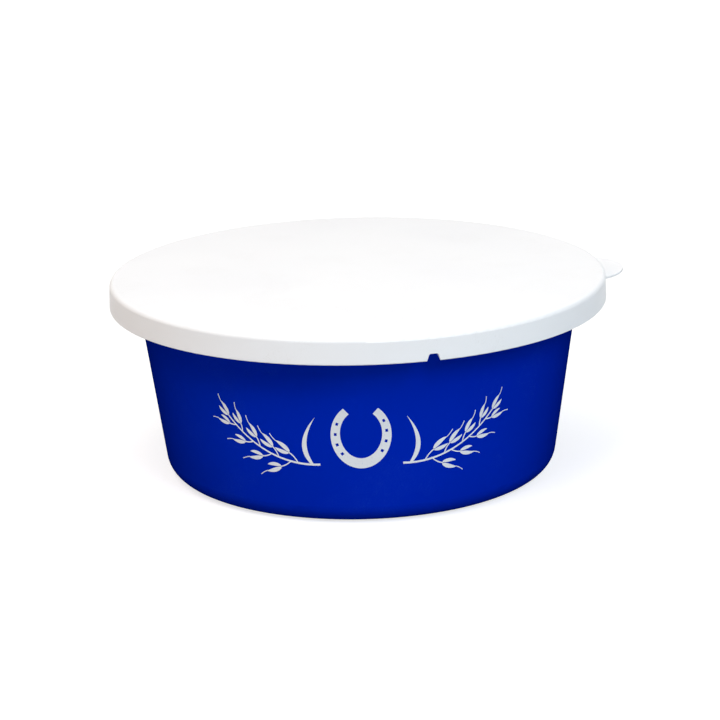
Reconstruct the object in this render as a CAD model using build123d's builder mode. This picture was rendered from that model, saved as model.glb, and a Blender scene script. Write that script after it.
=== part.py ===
"""Horse feed bowl with a press-on lid, in millimetres.

The origin is the centre of the bowl's foot on the resting plane. +Z is up and -Y is the front.
"""
from build123d import *
import os
from math import cos, radians, sqrt, tan

# Bowl: wall, floor and foot
bowl_height = 116.9
base_radius = 116.6
wall_draft = 8.0
wall_thickness = 2.2
floor_thickness = 2.4
base_corner = 12.5
foot_width = 6.0
foot_recess = 1.8
bowl_gate_radius = 3.5
bowl_gate_drop = 0.8

# Bowl: turned-over rim
rim_overhang = 12.4
rim_thickness = 2.2
rim_round = 4.0
mouth_round = 3.0
lip_thickness = 2.0
lip_drop = 9.9
lip_edge_round = 0.7

# Lid: panel, skirt and the ring that centres it in the mouth
panel_thickness = 1.6
lid_round = 2.6
skirt_thickness = 1.5
skirt_below_lip = 3.5
skirt_flare = 0.6
skirt_edge_round = 0.5
plug_depth = 4.5
plug_thickness = 1.6
plug_tip_round = 0.5
lid_gate_radius = 3.0
lid_gate_drop = 0.8

# Lid: snap bead, pull tab and notches
bead_depth = 0.8
bead_height = 2.0
bead_crest = 0.6
tab_angle = 17.0
tab_width = 55.8
tab_reach = 21.5
tab_thickness = 1.6
tab_lift = 2.6
tab_rise = 0.7
tab_edge_round = 0.5
notch_spread = 91.0
notch_mouth = 8.0
notch_top = 5.0
notch_height = 4.2
notch_round = 1.3

# Fits between the lid and the bowl
snap_clearance = 0.3
plug_clearance = 0.6
bead_gap = 0.3

# How far a cut reaches past the surface that it starts from
overcut = 1.0


def wall_radius(height):
    """Radius of the bowl's outer wall at a height above the resting plane."""
    return base_radius + height * tan(radians(wall_draft))


def mouth_radius(height):
    """Radius of the bowl's inner wall at a height above the resting plane."""
    return wall_radius(height) - wall_thickness / cos(radians(wall_draft))


def round_corners(section, roundings):
    """Round each listed corner of a section with its own radius."""
    for corner, radius in roundings:
        fillet(section.vertices().sort_by_distance(corner)[:1], radius=radius)


# Heights and radii that follow from the sizes above
rim_underside = bowl_height - rim_thickness
lip_bottom = bowl_height - lip_drop
rim_radius = wall_radius(bowl_height) + rim_overhang
lip_inner_radius = rim_radius - lip_thickness
skirt_inner_radius = rim_radius + snap_clearance + bead_depth
lid_radius = skirt_inner_radius + skirt_thickness
skirt_edge_radius = lid_radius + skirt_flare
skirt_bottom = lip_bottom - skirt_below_lip
lid_top = bowl_height + panel_thickness

# Bowl section, from the middle of the underside out, up the wall, over the rim and back inside
foot_outer_radius = base_radius - base_corner * tan(radians(90 - wall_draft) / 2)
foot_inner_radius = foot_outer_radius - foot_width
recess_radius = foot_inner_radius - foot_recess
floor_shift = floor_thickness * tan(radians(45) / 2)

base_edge = (base_radius, 0)
wall_top = (wall_radius(rim_underside), rim_underside)
lip_root = (lip_inner_radius, rim_underside)
lip_inner_edge = (lip_inner_radius, lip_bottom)
lip_outer_edge = (rim_radius, lip_bottom)
rim_edge = (rim_radius, bowl_height)
mouth_edge = (mouth_radius(bowl_height), bowl_height)
floor_edge = (mouth_radius(floor_thickness), floor_thickness)
step_foot = (foot_inner_radius + floor_shift, floor_thickness)
step_top = (recess_radius + floor_shift, foot_recess + floor_thickness)

with BuildPart() as bowl:
    with BuildSketch(Plane.XZ) as bowl_section:
        with BuildLine():
            Polyline(
                (0, foot_recess - bowl_gate_drop),
                (bowl_gate_radius, foot_recess - bowl_gate_drop),
                (bowl_gate_radius, foot_recess),
                (recess_radius, foot_recess),
                (foot_inner_radius, 0),
                base_edge,
                wall_top,
                lip_root,
                lip_inner_edge,
                lip_outer_edge,
                rim_edge,
                mouth_edge,
                floor_edge,
                step_foot,
                step_top,
                (0, foot_recess + floor_thickness),
                close=True,
            )
        make_face()
        round_corners(
            bowl_section,
            [
                (base_edge, base_corner),
                (floor_edge, base_corner - wall_thickness),
                (wall_top, rim_round - rim_thickness),
                (lip_root, rim_round - lip_thickness),
                (lip_inner_edge, lip_edge_round),
                (lip_outer_edge, lip_edge_round),
                (rim_edge, rim_round),
                (mouth_edge, mouth_round),
            ],
        )
    revolve(axis=Axis.Z)

# Pull tab: a half-moon of even thickness that stands out from the skirt and curves up a little
tab_root = sqrt(lid_radius**2 - (tab_width / 2) ** 2)
tab_tip = lid_radius + tab_reach
tab_sagitta = tab_tip - tab_root
tab_radius = ((tab_width / 2) ** 2 + tab_sagitta**2) / (2 * tab_sagitta)
tab_centre = tab_tip - tab_radius
tab_bottom = skirt_bottom + tab_lift
tab_top = tab_bottom + tab_thickness

with BuildPart() as tab_blank:
    with BuildSketch(Plane.XZ):
        with BuildLine():
            Line((tab_centre, tab_bottom), (tab_root, tab_bottom))
            TangentArc((tab_root, tab_bottom), (tab_tip, tab_bottom + tab_rise), tangent=(1, 0))
            Line((tab_tip, tab_bottom + tab_rise), (tab_tip, tab_top + tab_rise))
            TangentArc((tab_root, tab_top), (tab_tip, tab_top + tab_rise), tangent=(1, 0))
            Line((tab_root, tab_top), (tab_centre, tab_top))
            Line((tab_centre, tab_top), (tab_centre, tab_bottom))
        make_face()
    extrude(amount=tab_radius + overcut, both=True)
    with BuildSketch(Plane.XY.offset(tab_bottom - overcut)):
        with Locations((tab_centre, 0)):
            Circle(tab_radius)
    extrude(amount=tab_thickness + tab_rise + 2 * overcut, mode=Mode.INTERSECT)
    with BuildSketch(Plane.XY.offset(tab_bottom - overcut)):
        Circle(lid_radius - skirt_thickness / 2)
    extrude(amount=tab_thickness + tab_rise + 2 * overcut, mode=Mode.SUBTRACT)
    rim_face = tab_blank.faces().sort_by(Axis.X)[-1]
    fillet(rim_face.edges().filter_by(Axis.Z, reverse=True), radius=tab_edge_round)

# Lid section, from the bead up inside the skirt, under the panel, over the top and down outside
plug_bottom = bowl_height - plug_depth
plug_radius = mouth_radius(plug_bottom) - plug_clearance
bead_top = lip_bottom - bead_gap
bead_bottom = bead_top - bead_height
bead_middle = (bead_bottom + bead_top) / 2
bead_radius = skirt_inner_radius - bead_depth

lid_edge = (lid_radius, lid_top)
skirt_outer_edge = (skirt_edge_radius, skirt_bottom)
skirt_inner_edge = (skirt_inner_radius, skirt_bottom)
skirt_root = (skirt_inner_radius, bowl_height)
plug_outer_tip = (plug_radius, plug_bottom)
plug_inner_tip = (plug_radius - plug_thickness, plug_bottom)

with BuildPart() as lid:
    with BuildSketch(Plane.XZ) as lid_section:
        with BuildLine():
            Polyline(
                (skirt_inner_radius, bead_top),
                skirt_root,
                (plug_radius, bowl_height),
                plug_outer_tip,
                plug_inner_tip,
                (plug_radius - plug_thickness, bowl_height),
                (lid_gate_radius, bowl_height),
                (lid_gate_radius, bowl_height - lid_gate_drop),
                (0, bowl_height - lid_gate_drop),
                (0, lid_top),
                lid_edge,
                skirt_outer_edge,
                skirt_inner_edge,
                (skirt_inner_radius, bead_bottom),
                (bead_radius, bead_middle - bead_crest / 2),
                (bead_radius, bead_middle + bead_crest / 2),
                close=True,
            )
        make_face()
        round_corners(
            lid_section,
            [
                (lid_edge, lid_round),
                (skirt_root, lid_round - skirt_thickness),
                (skirt_outer_edge, skirt_edge_round),
                (skirt_inner_edge, skirt_edge_round),
                (plug_outer_tip, plug_tip_round),
                (plug_inner_tip, plug_tip_round),
            ],
        )
    revolve(axis=Axis.Z)
    add(tab_blank.part, rotation=(0, 0, tab_angle))

    # Two notches in the skirt's lower edge, about a quarter turn each side of the tab
    for notch_angle in (tab_angle - notch_spread, tab_angle + notch_spread):
        notch_plane = Plane.YZ.rotated((0, 0, notch_angle))
        notch_start = bead_radius - overcut
        notch_left = (-notch_top / 2, skirt_bottom + notch_height)
        notch_right = (notch_top / 2, skirt_bottom + notch_height)
        with BuildSketch(notch_plane.offset(notch_start)) as notch_section:
            with BuildLine():
                Polyline(
                    (-notch_mouth / 2, skirt_bottom - overcut),
                    (-notch_mouth / 2, skirt_bottom),
                    notch_left,
                    notch_right,
                    (notch_mouth / 2, skirt_bottom),
                    (notch_mouth / 2, skirt_bottom - overcut),
                    close=True,
                )
            make_face()
            round_corners(notch_section, [(notch_left, notch_round), (notch_right, notch_round)])
        extrude(amount=skirt_edge_radius - notch_start + overcut, mode=Mode.SUBTRACT)

# Each finished moulding in its own file
bowl.part.label = "bowl"
lid.part.label = "lid"
os.makedirs("parts", exist_ok=True)
export_step(bowl.part, "parts/bowl.step")
export_step(lid.part, "parts/lid.step")
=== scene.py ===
import math

import bmesh
import bpy
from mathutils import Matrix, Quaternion, Vector


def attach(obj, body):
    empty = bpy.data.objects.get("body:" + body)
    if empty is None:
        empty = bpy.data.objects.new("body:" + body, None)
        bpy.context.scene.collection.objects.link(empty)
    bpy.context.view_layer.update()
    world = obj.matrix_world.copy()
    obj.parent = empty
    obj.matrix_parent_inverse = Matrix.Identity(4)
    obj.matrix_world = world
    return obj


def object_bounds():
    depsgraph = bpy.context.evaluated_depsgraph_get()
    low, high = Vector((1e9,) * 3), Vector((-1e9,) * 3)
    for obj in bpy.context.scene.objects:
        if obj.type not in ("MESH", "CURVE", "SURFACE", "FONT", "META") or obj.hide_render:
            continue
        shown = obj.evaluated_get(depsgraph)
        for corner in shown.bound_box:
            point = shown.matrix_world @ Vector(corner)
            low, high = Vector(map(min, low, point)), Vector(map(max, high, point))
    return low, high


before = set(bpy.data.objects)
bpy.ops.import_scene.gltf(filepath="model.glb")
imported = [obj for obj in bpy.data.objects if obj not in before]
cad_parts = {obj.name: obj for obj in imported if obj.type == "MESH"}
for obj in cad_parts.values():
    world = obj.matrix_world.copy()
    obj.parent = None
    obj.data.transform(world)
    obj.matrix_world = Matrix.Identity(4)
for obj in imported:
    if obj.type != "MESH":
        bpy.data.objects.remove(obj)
cad_low, cad_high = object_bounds()

# Camera
# It stands where the photograph was taken: in front of the bowl, a little above the lid's height,
# far back with a long lens, and tilted a little to its right.
camera_place = Vector((0.0, -1.54595, 0.5103))
camera_target = Vector((0.0004, 0.0, 0.0638))
camera_roll = math.radians(1.33)

camera_data = bpy.data.cameras.new("camera")
camera_data.sensor_width = 36.0
camera_data.lens = 133.1
camera = bpy.data.objects.new("camera", camera_data)
camera.location = camera_place
camera.rotation_mode = "QUATERNION"
level_view = (camera_target - camera_place).to_track_quat("-Z", "Y")
camera.rotation_quaternion = level_view @ Quaternion((0, 0, 1), -camera_roll)
bpy.context.scene.collection.objects.link(camera)
bpy.context.scene.camera = camera
bpy.context.scene.view_settings.view_transform = "Standard"


# Studio
# A white paper floor under soft lamps, warm on the left and cool on the right. To the camera and
# in reflections the paper and the room are white, and the bowl's soft shadow stays on the paper.
def new_material(name):
    """A material with its Principled shader, and the tree that they stand in."""
    material = bpy.data.materials.new(name)
    material.use_nodes = True
    tree = material.node_tree
    return material, tree, tree.nodes["Principled BSDF"]


def place_node(tree, kind, inputs, **settings):
    """A node with its settings, and each input either linked to an output or set to a value."""
    node = tree.nodes.new(kind)
    for setting, value in settings.items():
        setattr(node, setting, value)
    for socket, source in inputs.items():
        if isinstance(source, bpy.types.NodeSocket):
            tree.links.new(source, node.inputs[socket])
        else:
            node.inputs[socket].default_value = source
    return node


def seen_directly(tree):
    """1 for camera, glossy and transmission rays, and 0 for the rays that light other things."""
    rays = tree.nodes.new("ShaderNodeLightPath").outputs
    mirrored = place_node(
        tree,
        "ShaderNodeMath",
        {0: rays["Is Glossy Ray"], 1: rays["Is Transmission Ray"]},
        operation="MAXIMUM",
    )
    seen = place_node(
        tree,
        "ShaderNodeMath",
        {0: rays["Is Camera Ray"], 1: mirrored.outputs[0]},
        operation="MAXIMUM",
    )
    return seen.outputs[0]


floor_radius = 8.0
near_lift = 0.7
far_lift = 1.0
lift_starts = 0.45
lift_ends = 1.1

floor_mesh = bpy.data.meshes.new("paper_floor")
floor_form = bmesh.new()
bmesh.ops.create_circle(floor_form, cap_ends=True, segments=96, radius=floor_radius)
floor_form.to_mesh(floor_mesh)
floor_form.free()
floor = bpy.data.objects.new("paper_floor", floor_mesh)
bpy.context.scene.collection.objects.link(floor)
paper, tree, shader = new_material("white_paper")
shader.inputs["Base Color"].default_value = (0.52, 0.52, 0.52, 1.0)
shader.inputs["Roughness"].default_value = 0.9
shader.inputs["Specular IOR Level"].default_value = 0.1
shader.inputs["Emission Color"].default_value = (1.0, 1.0, 1.0, 1.0)
place = tree.nodes.new("ShaderNodeTexCoord").outputs["Object"]
reach = place_node(tree, "ShaderNodeVectorMath", {0: place}, operation="LENGTH")
lift = place_node(
    tree,
    "ShaderNodeMapRange",
    {
        "Value": reach.outputs["Value"],
        "From Min": lift_starts,
        "From Max": lift_ends,
        "To Min": near_lift,
        "To Max": far_lift,
    },
    interpolation_type="SMOOTHSTEP",
)
glow = place_node(
    tree,
    "ShaderNodeMath",
    {0: lift.outputs["Result"], 1: seen_directly(tree)},
    operation="MULTIPLY",
)
tree.links.new(glow.outputs[0], shader.inputs["Emission Strength"])
floor.data.materials.append(paper)

room_light = 0.22

world = bpy.data.worlds.new("studio")
world.use_nodes = True
bpy.context.scene.world = world
tree = world.node_tree
room = tree.nodes["Background"]
room.inputs["Color"].default_value = (1.0, 1.0, 1.0, 1.0)
level = place_node(
    tree,
    "ShaderNodeMapRange",
    {"Value": seen_directly(tree), "To Min": room_light, "To Max": 1.0},
)
tree.links.new(level.outputs["Result"], room.inputs["Strength"])


def softbox(name, place, size, power, colour):
    """A square lamp at a place, aimed at the middle of the bowl."""
    data = bpy.data.lights.new(name, "AREA")
    data.size = size
    data.energy = power
    data.color = colour
    lamp = bpy.data.objects.new(name, data)
    lamp.location = place
    lamp.rotation_mode = "QUATERNION"
    lamp.rotation_quaternion = (camera_target - Vector(place)).to_track_quat("-Z", "Y")
    bpy.context.scene.collection.objects.link(lamp)


softbox("overhead_softbox", (0.0, 0.1, 1.9), 1.6, 11.5, (1.0, 1.0, 1.0))
softbox("left_key_softbox", (-0.5, -1.2, 1.8), 0.8, 16.0, (1.0, 0.89, 0.82))
softbox("right_key_softbox", (0.8, -1.5, 1.25), 0.8, 17.0, (0.68, 0.86, 1.0))
softbox("left_softbox", (-1.5, -0.6, 1.5), 0.8, 7.5, (1.0, 0.78, 0.62))
softbox("right_softbox", (1.6, -0.5, 1.5), 0.8, 4.5, (1.0, 0.93, 0.88))


# Bowl
# One injection moulding in dark blue polypropylene, with a sloping wall, a turned-over rim and a
# foot ring. It shows no reflections in this light, only its skin and faint scratches. Where it
# turns away from view its blue is painted darker, a painted shade for the light's falloff.
def new_group(name, inputs, outputs):
    """An empty shader group with named sockets, and the outputs and inputs of its two ends."""
    group = bpy.data.node_groups.new(name, "ShaderNodeTree")
    for socket, kind in inputs.items():
        group.interface.new_socket(socket, in_out="INPUT", socket_type=kind)
    for socket in outputs:
        group.interface.new_socket(socket, in_out="OUTPUT", socket_type="NodeSocketFloat")
    given = group.nodes.new("NodeGroupInput").outputs
    made = group.nodes.new("NodeGroupOutput").inputs
    return group, given, made


moulded_skin, given, made = new_group(
    "moulded_skin",
    {
        "Vector": "NodeSocketVector",
        "Grain Scale": "NodeSocketFloat",
        "Wave Scale": "NodeSocketFloat",
    },
    ["Height", "Mottle"],
)
grain = place_node(
    moulded_skin,
    "ShaderNodeTexNoise",
    {"Vector": given["Vector"], "Scale": given["Grain Scale"], "Detail": 3.0, "Roughness": 0.6},
)
wave = place_node(
    moulded_skin,
    "ShaderNodeTexNoise",
    {"Vector": given["Vector"], "Scale": given["Wave Scale"], "Detail": 1.5, "Roughness": 0.4},
)
skin_height = place_node(
    moulded_skin,
    "ShaderNodeMix",
    {"Factor": 0.2, "A": wave.outputs["Fac"], "B": grain.outputs["Fac"]},
    data_type="FLOAT",
)
mottle = place_node(
    moulded_skin,
    "ShaderNodeMapRange",
    {"Value": wave.outputs["Fac"], "From Min": 0.35, "From Max": 0.65},
)
moulded_skin.links.new(skin_height.outputs["Result"], made["Height"])
moulded_skin.links.new(mottle.outputs["Result"], made["Mottle"])

# Lines that run two ways, where the noise crosses its middle, and that stay in a few patches
fine_scratches, given, made = new_group(
    "fine_scratches",
    {"Vector": "NodeSocketVector", "Scale": "NodeSocketFloat", "Width": "NodeSocketFloat"},
    ["Scratches"],
)
both_ways = []
for turn, stretch in (((0.3, 0.5, 0.9), (1.0, 0.06, 0.5)), ((1.2, 0.2, -0.6), (0.5, 1.0, 0.05))):
    turned = place_node(
        fine_scratches,
        "ShaderNodeMapping",
        {"Vector": given["Vector"], "Rotation": turn, "Scale": stretch},
        vector_type="TEXTURE",
    )
    streaks = place_node(
        fine_scratches,
        "ShaderNodeTexNoise",
        {"Vector": turned.outputs["Vector"], "Scale": given["Scale"], "Detail": 2.0},
    )
    line = place_node(
        fine_scratches,
        "ShaderNodeMath",
        {0: streaks.outputs["Fac"], 1: 0.5, 2: given["Width"]},
        operation="COMPARE",
    )
    both_ways.append(line.outputs[0])
lines = place_node(
    fine_scratches, "ShaderNodeMath", {0: both_ways[0], 1: both_ways[1]}, operation="MAXIMUM"
)
patches = place_node(
    fine_scratches,
    "ShaderNodeTexNoise",
    {"Vector": given["Vector"], "Scale": 31.0, "Detail": 2.0},
)
patch = place_node(
    fine_scratches,
    "ShaderNodeMapRange",
    {"Value": patches.outputs["Fac"], "From Min": 0.54, "From Max": 0.64},
)
in_patch = place_node(
    fine_scratches,
    "ShaderNodeMath",
    {0: lines.outputs[0], 1: patch.outputs["Result"]},
    operation="MULTIPLY",
)
fine_scratches.links.new(in_patch.outputs[0], made["Scratches"])

# Wear that is full at and below an edge's height and breaks up over its reach above
edge_rub, given, made = new_group(
    "edge_rub",
    {"Vector": "NodeSocketVector", "Edge Height": "NodeSocketFloat", "Reach": "NodeSocketFloat"},
    ["Rub"],
)
height = place_node(edge_rub, "ShaderNodeSeparateXYZ", {"Vector": given["Vector"]}).outputs["Z"]
above = place_node(
    edge_rub, "ShaderNodeMath", {0: height, 1: given["Edge Height"]}, operation="SUBTRACT"
)
share = place_node(
    edge_rub, "ShaderNodeMath", {0: above.outputs[0], 1: given["Reach"]}, operation="DIVIDE"
)
broken = place_node(
    edge_rub,
    "ShaderNodeTexNoise",
    {"Vector": given["Vector"], "Scale": 260.0, "Detail": 4.0, "Roughness": 0.65},
)
uneven = place_node(
    edge_rub,
    "ShaderNodeMath",
    {0: share.outputs[0], 1: broken.outputs["Fac"]},
    operation="ADD",
)
rub = place_node(
    edge_rub,
    "ShaderNodeMapRange",
    {"Value": uneven.outputs[0], "From Min": 0.55, "From Max": 1.0, "To Min": 1.0, "To Max": 0.0},
)
edge_rub.links.new(rub.outputs["Result"], made["Rub"])


def moulded_finish(tree, shader, colours, roughness, skin, edge):
    """Colour, roughness and relief of a moulding: its skin, its scratches and its rubbed edge."""
    place = tree.nodes.new("ShaderNodeTexCoord").outputs["Object"]
    skin_node = place_node(
        tree,
        "ShaderNodeGroup",
        {"Vector": place, "Grain Scale": skin[0], "Wave Scale": skin[1]},
        node_tree=moulded_skin,
    )
    scratch_node = place_node(
        tree,
        "ShaderNodeGroup",
        {"Vector": place, "Scale": 90.0, "Width": 0.006},
        node_tree=fine_scratches,
    )
    rub_node = place_node(
        tree,
        "ShaderNodeGroup",
        {"Vector": place, "Edge Height": edge[0], "Reach": edge[1]},
        node_tree=edge_rub,
    )
    even, mottled, worn = colours
    tone = place_node(
        tree,
        "ShaderNodeMix",
        {"Factor": skin_node.outputs["Mottle"], 6: even, 7: mottled},
        data_type="RGBA",
    )
    wear = place_node(
        tree,
        "ShaderNodeMath",
        {0: scratch_node.outputs["Scratches"], 1: 0.4, 2: rub_node.outputs["Rub"]},
        operation="MULTIPLY_ADD",
        use_clamp=True,
    )
    colour = place_node(
        tree,
        "ShaderNodeMix",
        {"Factor": wear.outputs[0], 6: tone.outputs[2], 7: worn},
        data_type="RGBA",
    )
    tree.links.new(colour.outputs[2], shader.inputs["Base Color"])
    dulled = place_node(
        tree,
        "ShaderNodeMath",
        {0: skin_node.outputs["Mottle"], 1: 0.08, 2: roughness},
        operation="MULTIPLY_ADD",
    )
    rough = place_node(
        tree,
        "ShaderNodeMath",
        {0: wear.outputs[0], 1: 0.25, 2: dulled.outputs[0]},
        operation="MULTIPLY_ADD",
        use_clamp=True,
    )
    tree.links.new(rough.outputs[0], shader.inputs["Roughness"])
    relief = place_node(
        tree,
        "ShaderNodeMath",
        {0: wear.outputs[0], 1: -0.1, 2: skin_node.outputs["Height"]},
        operation="MULTIPLY_ADD",
    )
    bump = place_node(
        tree,
        "ShaderNodeBump",
        {"Strength": 0.35, "Distance": 0.0004, "Height": relief.outputs[0]},
    )
    tree.links.new(bump.outputs["Normal"], shader.inputs["Normal"])


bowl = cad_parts["bowl"]
bowl_plastic, tree, shader = new_material("blue_polypropylene")
shader.inputs["Specular IOR Level"].default_value = 0.0
moulded_finish(
    tree,
    shader,
    colours=[(0.0, 0.02, 0.455, 1.0), (0.0, 0.022, 0.48, 1.0), (0.02, 0.06, 0.5, 1.0)],
    roughness=0.3,
    skin=(2600.0, 16.0),
    edge=(0.0, 0.004),
)
plain = shader.inputs["Base Color"].links[0].from_socket
# Painted shade: the blue is mixed towards a darker blue where the surface turns away from view,
# standing in for the light falling off towards the bowl's sides
turned_away = place_node(tree, "ShaderNodeLayerWeight", {"Blend": 0.5}).outputs["Facing"]
painted_shade_amount = place_node(tree, "ShaderNodeMath", {0: turned_away, 1: 2.0}, operation="POWER")
painted_edge_shade = place_node(
    tree,
    "ShaderNodeMix",
    {"Factor": painted_shade_amount.outputs[0], 6: plain, 7: (0.0, 0.008, 0.2, 1.0)},
    data_type="RGBA",
)
tree.links.new(painted_edge_shade.outputs[2], shader.inputs["Base Color"])
bowl.material_slots[0].material = bowl_plastic

# Print
# A thin film of white screen-printing ink on the front of the wall: a horseshoe between two sprigs
# of oats, in a plain pattern of its own. Its outer face stands proud, and its inner face is sunk.
ink_thickness = 0.00013
ink_proud = 0.0001
ink_step = 0.00001
print_height = 0.055
near_height = 0.03
far_height = 0.09

near_hit = bowl.ray_cast(Vector((0, -1, near_height)), Vector((0, 1, 0)))[1]
far_hit = bowl.ray_cast(Vector((0, -1, far_height)), Vector((0, 1, 0)))[1]
wall_slope = (near_hit.y - far_hit.y) / (far_height - near_height)
print_radius = -near_hit.y + wall_slope * (print_height - near_height)


def on_wall(across, up, proud):
    """A point on the wall: across to the right from the front, up from the print's middle."""
    radius = print_radius + wall_slope * up + proud
    turn = across / print_radius
    return Vector((radius * math.sin(turn), -radius * math.cos(turn), print_height + up))


def heading_to(angle):
    """The direction at an angle on the unrolled wall."""
    return Vector((math.cos(angle), math.sin(angle)))


def curve(points, steps):
    """Evenly spaced values of a smooth curve that a Bezier polygon guides."""
    path = []
    for step in range(steps + 1):
        t = step / steps
        level = [Vector(point) for point in points]
        while len(level) > 1:
            level = [a.lerp(b, t) for a, b in zip(level, level[1:])]
        path.append(level[0])
    return path


def lay_ink(form, path, widths, rows, proud, holes=()):
    """A band of ink along a path, as wide as given at each point, less the cells that are holes."""
    grid = []
    for step, point in enumerate(path):
        ahead = path[min(step + 1, len(path) - 1)] - path[max(step - 1, 0)]
        side = Vector((-ahead.y, ahead.x)).normalized()
        line = []
        for row in rows:
            spot = point + side * (row * widths[step])
            line.append(form.verts.new(on_wall(spot.x, spot.y, proud)))
        grid.append(line)
    for step, (line, following) in enumerate(zip(grid, grid[1:])):
        for row in range(len(rows) - 1):
            if (step, row) not in holes:
                form.faces.new((line[row], line[row + 1], following[row + 1], following[row]))


def oat_grain(form, foot, heading, length, side):
    """Two husks on a common foot, one each side of the heading, and the awn of the longer one."""
    husk_steps = 10
    awn_steps = 6
    for opening, share in ((0.16, 1.0), (-0.17, 0.86)):
        ahead = heading_to(heading + side * opening)
        bulge = 0.055 * length * math.copysign(1.0, opening * side)
        away = Vector((-ahead.y, ahead.x)) * bulge
        tip = foot + ahead * length * share
        guide = [foot + away, foot + ahead * length * 0.5 + away * 3.2, tip + away]
        widths = []
        for step in range(husk_steps + 1):
            along = (0.04 + 0.94 * step / husk_steps) ** 0.8
            widths.append(0.13 * length * share * math.sin(math.pi * along) ** 0.8)
        lay_ink(form, curve(guide, husk_steps), widths, (-1.0, 0.0, 1.0), ink_proud)
    ahead = heading_to(heading + side * 0.2)
    start = foot + ahead * length * 0.98
    bend = Vector((-ahead.y, ahead.x)) * (side * 0.1 * length)
    guide = [start, start + ahead * length * 0.3, start + ahead * length * 0.55 + bend]
    widths = [0.00021] * (awn_steps + 1)
    lay_ink(form, curve(guide, awn_steps), widths, (-1.0, 1.0), ink_proud - ink_step)


ink_form = bmesh.new()

# The horseshoe: a tapering band, heels up, with four nail holes in each branch
shoe_half_width = 0.0145
shoe_half_height = 0.0175
shoe_lift = 0.001
shoe_sweep = 146
shoe_steps = 96
heel_width = 0.0022
toe_extra_width = 0.0009
nails = 4
first_nail = 17
nail_gap = 7

shoe_path = []
shoe_widths = []
for step in range(shoe_steps + 1):
    turn = math.radians(-shoe_sweep + 2 * shoe_sweep * step / shoe_steps)
    across = shoe_half_width * math.sin(turn)
    shoe_path.append(Vector((across, -shoe_half_height * math.cos(turn) + shoe_lift)))
    shoe_widths.append(heel_width + toe_extra_width * math.cos(turn / 2) ** 2)
nail_holes = set()
for branch in (-1, 1):
    for nail in range(nails):
        first = shoe_steps // 2 + branch * (first_nail + nail_gap * nail)
        nail_holes.update({(first, 1), (first + 1, 1)})
lay_ink(ink_form, shoe_path, shoe_widths, (-1.0, -0.3, 0.3, 1.0), ink_proud, nail_holes)

# The sprigs: a stem with grains on thin stalks, and one blade of a leaf near its foot
stem_guide = [(0.024, -0.0175), (0.043, -0.019), (0.064, -0.012), (0.080, 0.0075)]
stem_steps = 40
stem_width = 0.00062
stem_taper = 0.0000075
grains = 8
first_joint = 9
joint_gap = 4
stalk_reach = 0.0085
stalk_shortening = 0.0005
stalk_steps = 8
stalk_width = 0.00032
grain_length = 0.01
grain_shortening = 0.0003
end_grain_length = 0.0085
leaf_guide = [(0.0, 0.0), (0.0075, 0.009), (0.0045, 0.019), (-0.0025, 0.029)]
leaf_joint = 3
leaf_steps = 16
leaf_width = 0.0014

for side in (-1, 1):
    stem = curve([(side * across, up) for across, up in stem_guide], stem_steps)
    stem_widths = [stem_width - stem_taper * step for step in range(stem_steps + 1)]
    lay_ink(ink_form, stem, stem_widths, (-1.0, 1.0), ink_proud)
    for number in range(grains):
        joint = first_joint + joint_gap * number - (number % 2)
        ahead = stem[min(joint + 1, stem_steps)] - stem[joint - 1]
        heading = math.atan2(ahead.y, ahead.x)
        hand = side * (1 if number % 2 == 0 else -1)
        reach = stalk_reach - stalk_shortening * number
        arrive = heading + hand * 0.38
        start = stem[joint]
        middle = start + heading_to(heading + hand * 0.95) * reach * 0.6
        end = middle + heading_to(arrive) * reach * 0.4
        stalk = curve([start, middle, end], stalk_steps)
        stalk_widths = [stalk_width] * (stalk_steps + 1)
        lay_ink(ink_form, stalk, stalk_widths, (-1.0, 1.0), ink_proud - ink_step)
        oat_grain(ink_form, end, arrive, grain_length - grain_shortening * number, hand)
    ahead = stem[stem_steps] - stem[stem_steps - 1]
    oat_grain(ink_form, stem[stem_steps], math.atan2(ahead.y, ahead.x), end_grain_length, side)
    leaf_points = [stem[leaf_joint] + Vector((side * across, up)) for across, up in leaf_guide]
    leaf_widths = []
    for step in range(leaf_steps + 1):
        along = (0.06 + 0.93 * step / leaf_steps) ** 0.7
        leaf_widths.append(leaf_width * math.sin(math.pi * along))
    leaf = curve(leaf_points, leaf_steps)
    lay_ink(ink_form, leaf, leaf_widths, (-1.0, 0.0, 1.0), ink_proud - 2 * ink_step)

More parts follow.
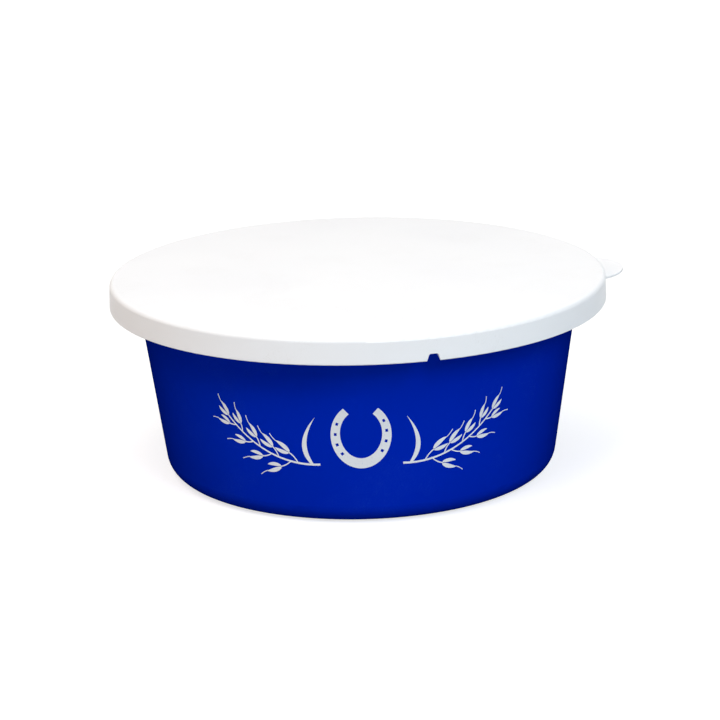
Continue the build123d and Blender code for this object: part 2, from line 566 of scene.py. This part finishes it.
bmesh.ops.recalc_face_normals(ink_form, faces=ink_form.faces)
for face in ink_form.faces:
    outward = face.calc_center_median()
    outward.z = 0
    if face.normal.dot(outward) < 0:
        face.normal_flip()
bmesh.ops.solidify(ink_form, geom=ink_form.faces[:], thickness=ink_thickness)
ink_mesh = bpy.data.meshes.new("oat_and_horseshoe_print")
ink_form.to_mesh(ink_mesh)
ink_form.free()
ink_print = bpy.data.objects.new("oat_and_horseshoe_print", ink_mesh)
bpy.context.scene.collection.objects.link(ink_print)

white_ink, tree, shader = new_material("white_printing_ink")
place = tree.nodes.new("ShaderNodeTexCoord").outputs["Object"]
speckle = place_node(
    tree, "ShaderNodeTexNoise", {"Vector": place, "Scale": 1500.0, "Detail": 2.0, "Roughness": 0.6}
)
thin_spots = place_node(
    tree,
    "ShaderNodeMapRange",
    {"Value": speckle.outputs["Fac"], "From Min": 0.6, "From Max": 0.72, "To Max": 0.5},
)
colour = place_node(
    tree,
    "ShaderNodeMix",
    {
        "Factor": thin_spots.outputs["Result"],
        6: (0.86, 0.88, 0.9, 1.0),
        7: (0.45, 0.52, 0.8, 1.0),
    },
    data_type="RGBA",
)
tree.links.new(colour.outputs[2], shader.inputs["Base Color"])
rough = place_node(
    tree,
    "ShaderNodeMapRange",
    {
        "Value": speckle.outputs["Fac"],
        "From Min": 0.3,
        "From Max": 0.7,
        "To Min": 0.45,
        "To Max": 0.6,
    },
)
tree.links.new(rough.outputs["Result"], shader.inputs["Roughness"])
shader.inputs["Specular IOR Level"].default_value = 0.2
ink_mesh.materials.append(white_ink)
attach(ink_print, "bowl")

# Lid
# One injection moulding in white, softer polyethylene, pressed down over the bowl's rim. Light
# goes a little way into it, so its edges look softer than the bowl's.
skirt_height = 0.015

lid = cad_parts["lid"]
lid_plastic, tree, shader = new_material("white_polyethylene")
shader.inputs["Specular IOR Level"].default_value = 0.2
shader.inputs["Subsurface Weight"].default_value = 0.2
shader.inputs["Subsurface Radius"].default_value = (1.0, 1.0, 1.0)
shader.inputs["Subsurface Scale"].default_value = 0.002
moulded_finish(
    tree,
    shader,
    colours=[(0.9, 0.91, 0.92, 1.0), (0.88, 0.89, 0.905, 1.0), (0.74, 0.73, 0.71, 1.0)],
    roughness=0.38,
    skin=(1800.0, 12.0),
    edge=(cad_high.z - skirt_height, 0.0008),
)
lid.material_slots[0].material = lid_plastic
